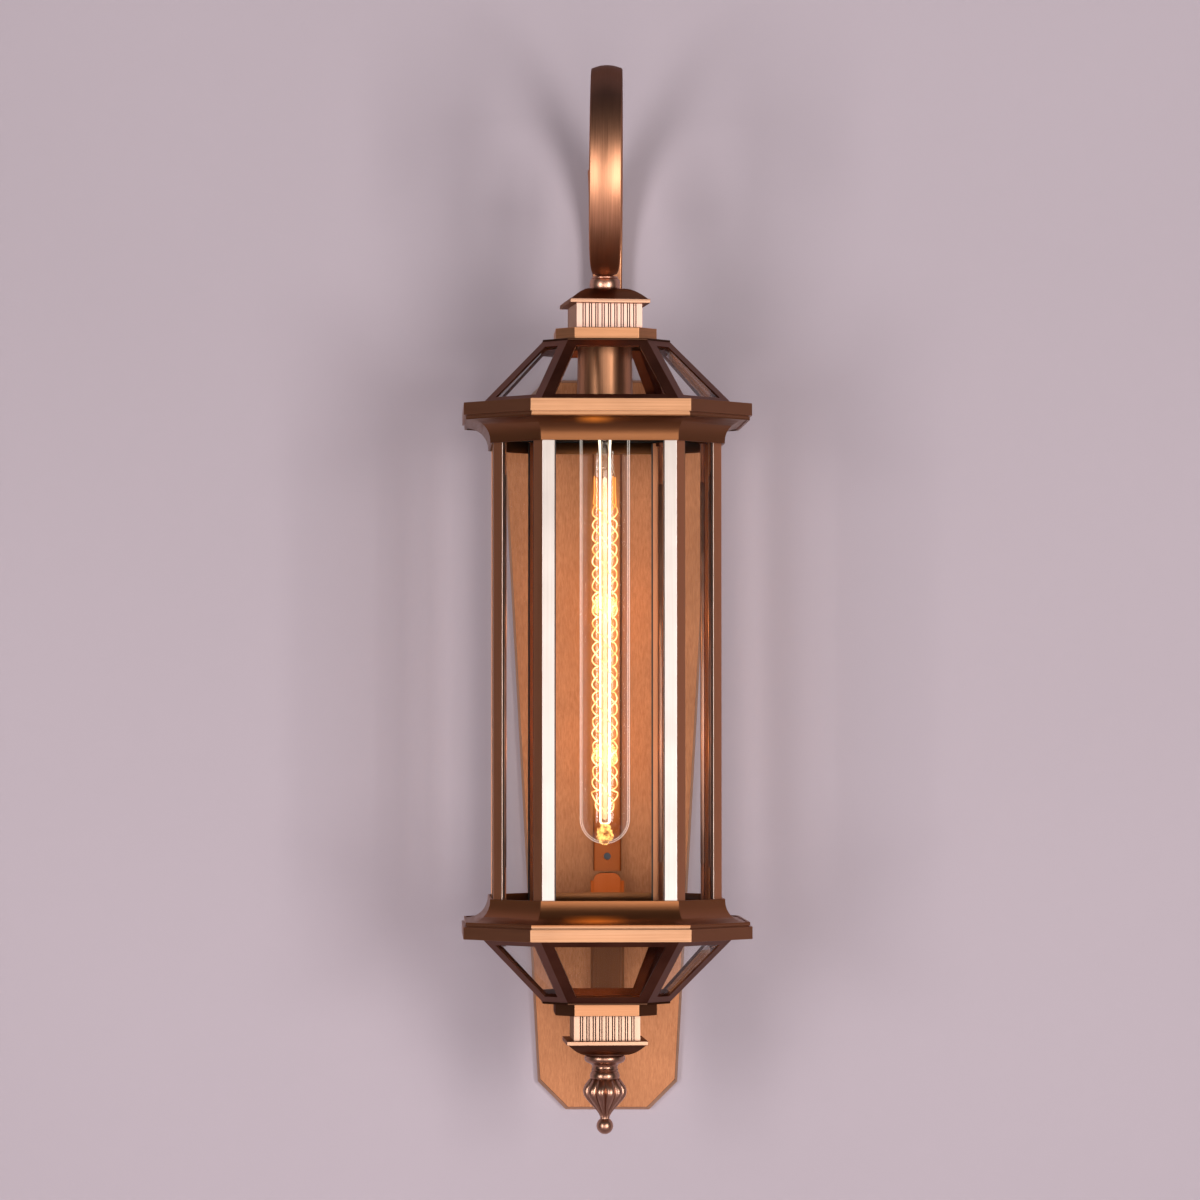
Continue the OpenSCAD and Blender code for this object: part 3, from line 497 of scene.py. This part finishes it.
def refine(node, material, width, segments=2):
    """A copy of a CAD node with its flats joined, its edges eased by width mm and its curves smooth."""
    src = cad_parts[node].data
    bm = bmesh.new()
    verts = [bm.verts.new(v.co) for v in src.vertices]
    bm.verts.ensure_lookup_table()
    for p in src.polygons:
        try:
            bm.faces.new([verts[i] for i in p.vertices])
        except ValueError:
            pass
    bmesh.ops.remove_doubles(bm, verts=bm.verts, dist=2e-6)
    bmesh.ops.dissolve_degenerate(bm, dist=1e-7, edges=bm.edges)
    bmesh.ops.recalc_face_normals(bm, faces=bm.faces)
    bmesh.ops.dissolve_limit(bm, angle_limit=math.radians(0.6), use_dissolve_boundaries=False,
                             verts=bm.verts, edges=bm.edges)
    me = bpy.data.meshes.new(node + "_piece")
    bm.to_mesh(me)
    bm.free()
    for p in me.polygons:
        p.use_smooth = True
    me.materials.append(material)
    obj = show(node + "_piece", me)
    if width:
        soften(obj, width, segments)
    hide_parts(node)
    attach(obj, "root")


def dress(node, material):
    """Gives a CAD node that shows as it is its material."""
    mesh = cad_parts[node].data
    mesh.materials.clear()
    mesh.materials.append(material)


def lathe(profile, steps, centre=(0, 0), place=hung):
    """Vertices and faces of a profile [(radius, height)] turned round a vertical line."""
    verts, faces = [], []
    n = len(profile)
    for i in range(steps):
        a = 2 * math.pi * i / steps
        for r, z in profile:
            verts.append(place((centre[0] + r * math.cos(a), centre[1] + r * math.sin(a), z)))
    for i in range(steps):
        j = (i + 1) % steps
        for k in range(n - 1):
            faces.append((i * n + k, j * n + k, j * n + k + 1, i * n + k + 1))
    return verts, faces


def bands(rows, around, ends=True):
    """Faces between rows of points that each go once around."""
    faces = []
    for k in range(rows - 1):
        for i in range(around):
            j = (i + 1) % around
            faces.append((k * around + i, (k + 1) * around + i, (k + 1) * around + j, k * around + j))
    if ends:
        faces += [tuple(range(around)), tuple(range((rows - 1) * around, rows * around))]
    return faces


def tube(points, radius, sides):
    """Vertices and faces of a round wire along points, in metres."""
    verts = []
    last = len(points) - 1
    side = None
    for i, p in enumerate(points):
        t = (points[min(i + 1, last)] - points[max(i - 1, 0)]).normalized()
        if side is None:
            side = t.cross(Vector((0, 0, 1)) if abs(t.z) < 0.9 else Vector((1, 0, 0))).normalized()
        else:
            side = (side - t * side.dot(t)).normalized()
        other = t.cross(side)
        for k in range(sides):
            a = 2 * math.pi * k / sides
            verts.append(p + (side * math.cos(a) + other * math.sin(a)) * radius)
    return verts, bands(len(points), sides)


def merge(parts):
    verts, faces = [], []
    for v, f in parts:
        base = len(verts)
        verts += v
        faces += [tuple(base + i for i in face) for face in f]
    return verts, faces


def arc(centre, r, start, end, steps):
    return [(centre[0] + r * cosd(start + (end - start) * i / steps),
             centre[1] + r * sind(start + (end - start) * i / steps)) for i in range(steps + 1)]


# Scrolled arm, drawn finer than its CAD solid on the same path. The path is (out from the wall, up).
SPINE_U = PLATE_T + ARM_T / 2
SCROLL_R = (SCROLL_D - ARM_T) / 2
TURNS = [REACH - SPINE_U, SCROLL_R, SCROLL_R] + [SCROLL_R * SCROLL_RATIO ** k for k in (1, 2, 3, 4)]
TURN_STEPS = [40, 36, 40, 28, 24, 20, 18]
SPINE_STEPS = 25
HANG_SEAT = SCROLL_D / 2 - math.sqrt((SCROLL_D / 2) ** 2 - TUBE_HOLE_R ** 2)
HANG_Z = ARM_Z - BODY_DROP - HANG_SEAT
SPINE_TOP = HANG_Z + SCROLL_D - ARM_T / 2 - TURNS[0]
BAR_EDGE_R = 1.3


def turn_centres():
    start, centres = (SPINE_U, SPINE_TOP), []
    for k, r in enumerate(TURNS):
        heading = 90 - 90 * k
        c = (start[0] + r * cosd(heading - 90), start[1] + r * sind(heading - 90))
        centres.append(c)
        start = (c[0] + r * cosd(heading), c[1] + r * sind(heading))
    return centres


def spine_width(share):
    return ARM_FOOT_W + (ARM_W - ARM_FOOT_W) * share


def bar_size(k, t):
    """Width, thickness and sideways drift of the bar at share t of quarter turn k."""
    if k < 3:
        width = (spine_width(0.6 + 0.1 * t), spine_width(0.7 + 0.3 * t),
                 ARM_W - (ARM_W - ARM_NECK_W) * t ** 4)[k]
        return width, ARM_T, SCROLL_BOW * sind(60 * (k + t))
    inwards = (k - 3 + t) / 4
    return (ARM_NECK_W - (ARM_NECK_W - ARM_TIP_W) * inwards, ARM_T - (ARM_T - ARM_TIP_T) * inwards,
            -VOLUTE_DRIFT * (1 - cosd(90 * min(1, inwards * 2))))


def bar_section(w, t):
    """Outline of the bar: a flat inner face, rounded corners and a crowned outer face."""
    def corner(x, y, start):
        return arc((x, y), BAR_EDGE_R, start, start + 90, 5)

    side = w / 2 - BAR_EDGE_R
    low, shoulder = BAR_EDGE_R - t / 2, t / 2 - ARM_CROWN
    crown = [side * (1 - i / 6) for i in range(1, 12)]
    return (corner(side, low, -90) + corner(side, shoulder - BAR_EDGE_R, 0)
            + [(x, shoulder + ARM_CROWN * (1 - (x / side) ** 2)) for x in crown]
            + corner(-side, shoulder - BAR_EDGE_R, 90) + corner(-side, low, 180)
            + [(side * (2 * i / 6 - 1), -t / 2) for i in range(1, 6)])


def bar_stations():
    """(point, heading, width, thickness, drift) along the arm."""
    stations = []
    for i in range(SPINE_STEPS):
        z = ARM_BOTTOM + (SPINE_TOP - ARM_BOTTOM) * i / SPINE_STEPS
        stations.append(((SPINE_U, z), 90.0, spine_width(0.6 * i / SPINE_STEPS), ARM_T, 0.0))
    for k, c in enumerate(turn_centres()):
        heading = 90 - 90 * k
        for i in range(TURN_STEPS[k] + (k == len(TURNS) - 1)):
            t = i / TURN_STEPS[k]
            a = heading - 90 * t
            p = (c[0] + TURNS[k] * cosd(a + 90), c[1] + TURNS[k] * sind(a + 90))
            stations.append((p, a) + bar_size(k, t))
    return stations


def build_arm():
    stations = bar_stations()
    verts, uvs = [], []
    run, last = 0.0, stations[0][0]
    for p, a, w, t, drift in stations:
        section = bar_section(w, t)
        run += math.dist(p, last)
        last = p
        across = 0.0
        for q, (x, y) in enumerate(section):
            if q:
                across += math.dist((x, y), section[q - 1])
            verts.append(Vector((drift + x, -(p[0] + y * cosd(a + 90)), p[1] + y * sind(a + 90))) * MM)
            uvs.append((across * MM, run * MM))
    obj = new_object("scroll_arm_piece", verts, bands(len(stations), len(section)), ARM, "arm_copper")
    layer = obj.data.uv_layers.new(name="grain")
    for loop in obj.data.loops:
        layer.data[loop.index].uv = uvs[loop.vertex_index]

    def middle(y, z):
        return Vector((0, y * MM, z * MM))

    holes = [tube([middle(-20, z), middle(2, z)], BOLT_D / 2 * MM, 32) for z in (-BOLT_Z, BOLT_Z)]
    holes.append(tube([middle(-REACH, HANG_Z - 3), middle(-REACH, HANG_Z + ARM_T + 6)], TUBE_HOLE_R * MM, 40))
    cutter = new_object("arm_holes", *merge(holes), ARM, "arm_copper")
    cut = obj.modifiers.new("holes", "BOOLEAN")
    cut.object = cutter
    cut.solver = "EXACT"
    soften(obj, 0.35, 2, 50)
    deps = bpy.context.evaluated_depsgraph_get()
    made = bpy.data.meshes.new_from_object(obj.evaluated_get(deps))
    obj.modifiers.clear()
    obj.data = made
    bpy.data.objects.remove(cutter)
    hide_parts("scroll_arm")
    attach(obj, "root")


# Finial: ring and waist, gadrooned bulb, ball and stud, drawn upwards and hung upside down
GADROON_RINGS, GADROON_STEPS = 56, 288
GADROON_Z, GADROON_H = 15.4, 23.4


def gadroon_radius(t):
    if t < 0.3:
        return 8.8 + 4.1 * math.sin(math.pi / 2 * t / 0.3) ** 0.75
    return 2.7 + 10.2 * (1 - smooth((t - 0.3) / 0.7))


def build_finial():
    def flip(v):
        return hung((v[0], v[1], FINIAL_Z - v[2]))

    verts = []
    for k in range(GADROON_RINGS + 1):
        t = k / GADROON_RINGS
        swell = math.sin(math.pi * t ** 0.8)
        groove = 1.75 * swell if 0 < t < 1 else 0
        lip = 0.75 * max(0.0, 1 - t / 0.13) ** 2
        for i in range(GADROON_STEPS):
            a = 2 * math.pi * i / GADROON_STEPS
            lobe = abs(math.sin(6 * a))
            r = gadroon_radius(t) - groove * (1 - lobe) ** 1.6 + 0.35 * swell * lobe
            z = GADROON_Z + GADROON_H * t - lip * lobe ** 0.7
            verts.append(flip((r * math.cos(a), r * math.sin(a), z)))
    top = ([(CENTRE, 0), (11.6, 0)] + arc((9.5, 2.6), 2.8, -58, 78, 14)[1:] + arc((10, 8), 2.4, 235, 140, 12)
           + arc((4.4, 13.2), 4.5, -42, 26, 14) + [(8.2, 15.7), (CENTRE, 15.8)])
    ball = [(CENTRE, 37.6), (2.7, 37.7), (2.6, 38.3)] + arc((0, 43), 5, -60, 89.9, 22)
    stud = [(CENTRE, -33), (2.6, -33), (3, -32.5), (3, 0.5), (CENTRE, 0.5)]
    parts = [(verts, bands(GADROON_RINGS + 1, GADROON_STEPS))]
    parts += [lathe(profile, steps, place=flip) for profile, steps in ((top, 96), (ball, 48), (stud, 32))]
    obj = new_object("finial_piece", *merge(parts), AGED, "aged_bronze", sharp=50)
    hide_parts("finial")
    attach(obj, "root")


# Tie rods with threaded ends and chamfered nuts
ROD_R, THREAD_ROOT, THREAD_PITCH, THREAD_FROM = 1.5, 1.24, 0.56, 116.0
ROD_END = FASCIA_Z + FLANGE_T + NUT_H + 1
NUT_PLACES = (GALLERY_Z - NUT_H, GALLERY_Z + GALLERY_T, FASCIA_Z - CORNICE_T - NUT_H, FASCIA_Z + FLANGE_T)
NUT_R, NUT_END_R, NUT_CHAMFER = 2.88, 2.62, 0.22


def rod_spots():
    depth = SHEET_T + 2 * GAP + GLASS_T + NUT_AF / 2 / cosd(30)
    x, y = BODY_A - depth, BODY_B - depth * (math.sqrt(2) - 1)
    return [(x * c - y * m * s, x * s + y * m * c)
            for c, s in ((1, 0), (0, 1), (-1, 0), (0, -1)) for m in (-1, 1)]


def thread(start, stop, first, second):
    """Profile of a thread from start up to stop."""
    points, z = [], start
    while z < stop:
        points += [(first, z), (second, z + THREAD_PITCH / 2)]
        z += THREAD_PITCH
    return points


def hex_nut(spot, low, high):
    rows = ((low, NUT_END_R), (low + NUT_CHAMFER, NUT_R), (high - NUT_CHAMFER, NUT_R), (high, NUT_END_R))
    verts = [hung((spot[0] + r * cosd(60 * k + 15), spot[1] + r * sind(60 * k + 15), z))
             for z, r in rows for k in range(6)]
    return verts, bands(len(rows), 6)


def build_rods():
    profile = ([(CENTRE, -ROD_END), (1.1, -ROD_END)] + thread(0.3 - ROD_END, -THREAD_FROM, ROD_R, THREAD_ROOT)
               + [(ROD_R, 0.2 - THREAD_FROM), (ROD_R, THREAD_FROM - 0.2)]
               + thread(THREAD_FROM, ROD_END - 0.3, THREAD_ROOT, ROD_R) + [(1.1, ROD_END), (CENTRE, ROD_END)])
    rods = new_object("tie_rods_piece", *merge([lathe(profile, 14, centre=s) for s in rod_spots()]), ROD,
                      "dark_bronze", sharp=60)
    nuts = [hex_nut(s, *sorted((z * sign, (z + NUT_H) * sign)))
            for s in rod_spots() for z in NUT_PLACES for sign in (1, -1)]
    nut = new_object("rod_nuts_piece", *merge(nuts), BRONZE, "dark_bronze", flat=True)
    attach(nut, "root")
    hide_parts("tie_rods")
    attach(rods, "root")


# Dark strips along the posts, between each flange and its pane
DARK_STRIP_END = GALLERY_Z - 0.5


def build_dark_strips():
    parts = []
    for i in range(8):
        wide = i % 2 == 0
        apothem = BODY_A if wide else (BODY_A + BODY_B) / math.sqrt(2)
        half = BODY_B if wide else (BODY_A - BODY_B) / math.sqrt(2)
        c, s = cosd(45 * i), sind(45 * i)
        for sign in (-1, 1):
            x0, x1 = sorted((sign * (half - POST_W - 0.7), sign * (half - POST_W + 0.3)))
            low, high = apothem - 1.3, apothem - 0.55
            verts = [hung((u * c - w * s, u * s + w * c, z)) for z in (-DARK_STRIP_END, DARK_STRIP_END)
                     for u, w in ((low, x0), (high, x0), (high, x1), (low, x1))]
            parts.append((verts, bands(2, 4)))
    obj = new_object("dark_edge_strips", *merge(parts), DARK_STRIP, "dark_bronze", flat=True)
    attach(obj, "root")


# Bulb: envelope, threaded cap, glass stem with its core, filament wound from four wires, and the stem's tip;
# the core and the tip carry painted light
def envelope(r, tip):
    """Profile of the tube from its round tip to the cap, at radius r."""
    shoulder = [(0, 12), (0.15, 9.5), (0.7, 6.5), (1.7, 3), (2.6, 0)]
    return ([(max(CENTRE, x), y) for x, y in arc((0, tip + r), r, -90, 0, 20)]
            + [(r - inset, CAP_LOW - below) for inset, below in shoulder])


def screw_cap():
    points = [(CENTRE, BULB_TOP), (5, BULB_TOP), (5.4, BULB_TOP - 1.6), (10.3, BULB_TOP - 4),
              (11.9, BULB_TOP - 5)]
    z = BULB_TOP - 6
    while z > CAP_LOW + 3:
        points += [(12.2, z), (13.05, z - 0.9), (13.05, z - 1.3), (12.2, z - 2.2)]
        z -= 3.2
    return points + [(12.9, CAP_LOW + 1.5), (12.9, CAP_LOW), (CENTRE, CAP_LOW)]


NODE_TOP, NODE_GAP, NODES_LONG = 92.0, 14.81, 11.94
WIRE_STEPS = 620


def wire_radius(u):
    """Distance from the axis: nearest at each node, and a round basket at the lower end."""
    if u < 11:
        return 1.9 + 6.5 * abs(math.sin(math.pi * u)) ** 0.3
    v = min(1.0, (u - 11) / 0.94)
    return 0.6 + 7.4 * min(1.0, (v / 0.12) ** 0.4) * math.sqrt(max(0.0, 1 - v ** 2.2))


def wire_path(s):
    """One of the four wires, from its hook at the top down through the nodes."""
    hook = 90 * s - 54
    points = [hung((8.0 * cosd(hook), 8.0 * sind(hook), z)) for z in (117.0, 112.0, 107.0)]
    for k in range(WIRE_STEPS + 1):
        u = -0.6 + (NODES_LONG + 0.6) * k / WIRE_STEPS
        whole = math.floor(u)
        a = 90 * s + 90 * (whole + 0.5 * (u - whole) + 0.5 * smooth(u - whole))
        r = wire_radius(u) + 0.175 * sind(360 * 2.3 * u + 90 * s)
        points.append(hung((r * cosd(a), r * sind(a), NODE_TOP - NODE_GAP * u)))
    return points


def build_bulb():
    profile = envelope(15, BULB_TIP) + envelope(14, BULB_TIP + 1)[::-1]
    glass = new_object("bulb_glass_piece", *lathe(profile, 72), BULB, "bulb_glass", sharp=60)
    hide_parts("bulb_glass")
    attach(glass, "root")
    screw = new_object("bulb_cap_piece", *lathe(screw_cap(), 64), NICKEL, "cap_nickel", sharp=60)
    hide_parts("bulb_cap")
    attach(screw, "root")

    stem = [(r, CAP_LOW - below) for r, below in
            ((CENTRE, 0), (9.5, 0), (8.0, 4), (5.4, 9), (4.4, 15), (3.5, 30))]
    stem += [(3.4, 110), (3.3, -90), (2.6, -91.2), (CENTRE, -91.6)]
    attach(new_object("bulb_stem_piece", *lathe(stem, 40), STEM, "bulb_glass"), "root")
    # A glowing core in the stem: painted reflection of the filament.
    core = [(CENTRE, 117), (1.3, 116), (1.5, 108), (1.5, -88), (CENTRE, -89)]
    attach(new_object("stem_core", *lathe(core, 24), STEM_PAINTED_REFLECTION, "bulb_glass"), "root")

    wires, leads = [], []
    for s in range(4):
        path = wire_path(s)
        a = 90 * s - 54
        wires.append(tube(path, 0.40 * MM, 8))
        leads.append(tube([path[0], hung((1.9 * cosd(a), 1.9 * sind(a), 138))], 0.16 * MM, 6))
    wound = new_object("filament_piece", *merge(wires), GLOW, "glowing_filament")
    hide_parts("filament")
    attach(wound, "root")
    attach(new_object("filament_leads", *merge(leads), LEAD, "cap_nickel"), "root")

    # The stem's lumpy tip, glowing: a painted glint.
    verts = []
    rings, around = 28, 40
    for k in range(rings + 1):
        b = math.pi * k / rings
        for i in range(around):
            a = 2 * math.pi * i / around
            way = Vector((math.sin(b) * math.cos(a), math.sin(b) * math.sin(a), -math.cos(b)))
            r = 1 + 0.30 * noise.noise(way * 2.6) + 0.22 * noise.noise(way * 6.0)
            verts.append(hung((way.x * 4.5 * r + 0.02, way.y * 4.5 * r, -97.6 + way.z * 5.9 * r)))
    lump = new_object("stem_tip", verts, bands(rings + 1, around, ends=False), TIP_PAINTED_GLINT, "bulb_glass")
    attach(lump, "root")


build_arm()
build_finial()
build_rods()
build_dark_strips()
build_bulb()

# Node, material, width of the eased edges in mm and their segments
for piece in (("backplate", PLATE, 0.8, 3), ("cable_cover", COVER, 0.25), ("ball_collar", BALL, 0.0),
              ("hanger_nut", BRONZE, 0.3), ("top_cap", TOP_CAP, 0.3), ("bottom_cap", LOW_CAP, 0.3),
              ("top_neck", TOP_NECK, 0.1, 1), ("bottom_neck", LOW_NECK, 0.1, 1),
              ("top_collar", TOP_COLLAR, 0.3), ("bottom_collar", LOW_COLLAR, 0.3),
              ("roof_frame", BRONZE, 0.22), ("base_frame", BRONZE, 0.22),
              ("top_cornice", TOP_CORNICE, 0.28), ("bottom_cornice", LOW_CORNICE, 0.28),
              ("top_gallery", BLACK, 0.15), ("bottom_gallery", BLACK, 0.15), ("lamp_cup", CUP, 0.25)):
    refine(*piece)
for i in range(8):
    refine("post_%d" % (i + 1), POST, 0.22)
for s in SIDES:
    for kind in ("roof_pane_", "body_pane_", "base_pane_"):
        dress(kind + s, PANE)
for node, material in (("arm_screws", OXIDE), ("cable_grommet", RUBBER), ("hanging_tube", STEEL),
                       ("cup_nut", STEEL), ("lampholder", CREAM)):
    dress(node, material)


# Wall and floor, in metres
def stage_plane(name, corners, material, opening=()):
    """A flat piece of the set, with an opening if one is given."""
    loops = [[Vector(v) for v in loop] for loop in (corners, opening) if loop]
    points = [v for loop in loops for v in loop]
    way = geometry.normal(loops[0])
    faces = []
    for f in geometry.tessellate_polygon(loops):
        faces.append(f if geometry.normal([points[i] for i in f]).dot(way) > 0 else f[::-1])
    me = bpy.data.meshes.new(name)
    me.from_pydata(points, [], faces)
    me.materials.append(material)
    show(name, me)


def wall_material():
    """Matt paint, seen from the front only."""
    n = Nodes("wall_paint")
    v = n.coords()
    soft = n.noise(v, 1.6, 2.0, 0.5)
    fine = n.noise(v, 900, 3.0, 0.6)
    paint = n.principled(Base_Color=n.ramp(soft, [(0.3, (0.47, 0.40, 0.44)), (0.7, (0.505, 0.43, 0.475))]),
                         Roughness=0.85, Specular_IOR_Level=0.2, Normal=n.bump(fine, 4e-5))
    behind = n.add("NewGeometry").outputs["Backfacing"]
    return n.finish(n.mix(behind, paint, n.add("BsdfTransparent").outputs["BSDF"]))


WALL = wall_material()
WALL_Y, FLOOR_Z = 0.0006, -1.3
# The wall is open behind the plate, so the plate's back isn't black from behind. In mm.
BEHIND_PLATE = [(-37, 162), (-62, 137), (-39.5, -270.5), (-24, -286), (24, -286), (39.5, -270.5), (62, 137),
                (37, 162)]
stage_plane("wall", [(x, WALL_Y, z) for x, z in ((-3, FLOOR_Z), (3, FLOOR_Z), (3, 2.6), (-3, 2.6))], WALL,
            [(x * MM, WALL_Y, z * MM) for x, z in BEHIND_PLATE])
stage_plane("floor", [(-3, -5, FLOOR_Z), (3, -5, FLOOR_Z), (3, 0.0, FLOOR_Z), (-3, 0.0, FLOOR_Z)], WALL)

# Light
world = bpy.data.worlds.new("studio")
bpy.context.scene.world = world
world.use_nodes = True
sky = world.node_tree.nodes["Background"]
sky.inputs["Color"].default_value = rgba((0.80, 0.72, 0.76))
sky.inputs["Strength"].default_value = 0.10


def softbox(name, azimuth, elevation, w, h, radiance, colour):
    """A softbox 3.4 m from the lantern. azimuth is to the right of the wall's normal, seen from in
    front of it."""
    d = bpy.data.lights.new(name, "AREA")
    d.shape = "RECTANGLE"
    d.size, d.size_y = w, h
    d.energy = radiance * math.pi * w * h
    d.color = colour
    o = show(name, d)
    way = Vector((sind(azimuth) * cosd(elevation), -cosd(azimuth) * cosd(elevation), sind(elevation)))
    o.location = Vector((0, -0.12, 0.02)) + way * 3.4
    o.rotation_euler = way.to_track_quat("Z", "Y").to_euler()
    o.visible_camera = False


softbox("key_right", 32, -4, 0.95, 1.8, 12.0, (1.0, 0.985, 0.97))
softbox("key_left", -33, -4, 0.95, 1.8, 9.4, (1.0, 0.98, 0.98))
softbox("front_fill", 4, -9, 1.1, 2.0, 3.6, (1.0, 0.98, 0.97))

for k in range(2):
    d = bpy.data.lights.new("bulb_light_%d" % k, "POINT")
    d.energy = 0.09
    d.color = (1.0, 0.50, 0.18)
    d.shadow_soft_size = 0.009
    o = show("bulb_light_%d" % k, d)
    o.location = hung((0, 0, 40 - 90 * k))
    o.visible_camera = False
    o.visible_diffuse = False

# Camera
CAMERA_YAW, CAMERA_DISTANCE = -0.8, 2.67
cam = bpy.data.cameras.new("camera")
cam.sensor_width = 36
cam.lens = 133.5
cam.clip_start, cam.clip_end = 0.1, 30
eye = show("camera", cam)
eye.location = (-CAMERA_DISTANCE * sind(CAMERA_YAW), -0.12 - CAMERA_DISTANCE * cosd(CAMERA_YAW), -0.0533)
eye.rotation_euler = (eye.location - Vector((-0.0029, -0.12, 0.0247))).to_track_quat("Z", "Y").to_euler()
scene = bpy.context.scene
scene.camera = eye
scene.view_settings.view_transform = "Standard"
scene.view_settings.look = "None"
scene.cycles.max_bounces = 8
scene.cycles.diffuse_bounces = 3
scene.cycles.glossy_bounces = 4
scene.cycles.transparent_max_bounces = 26
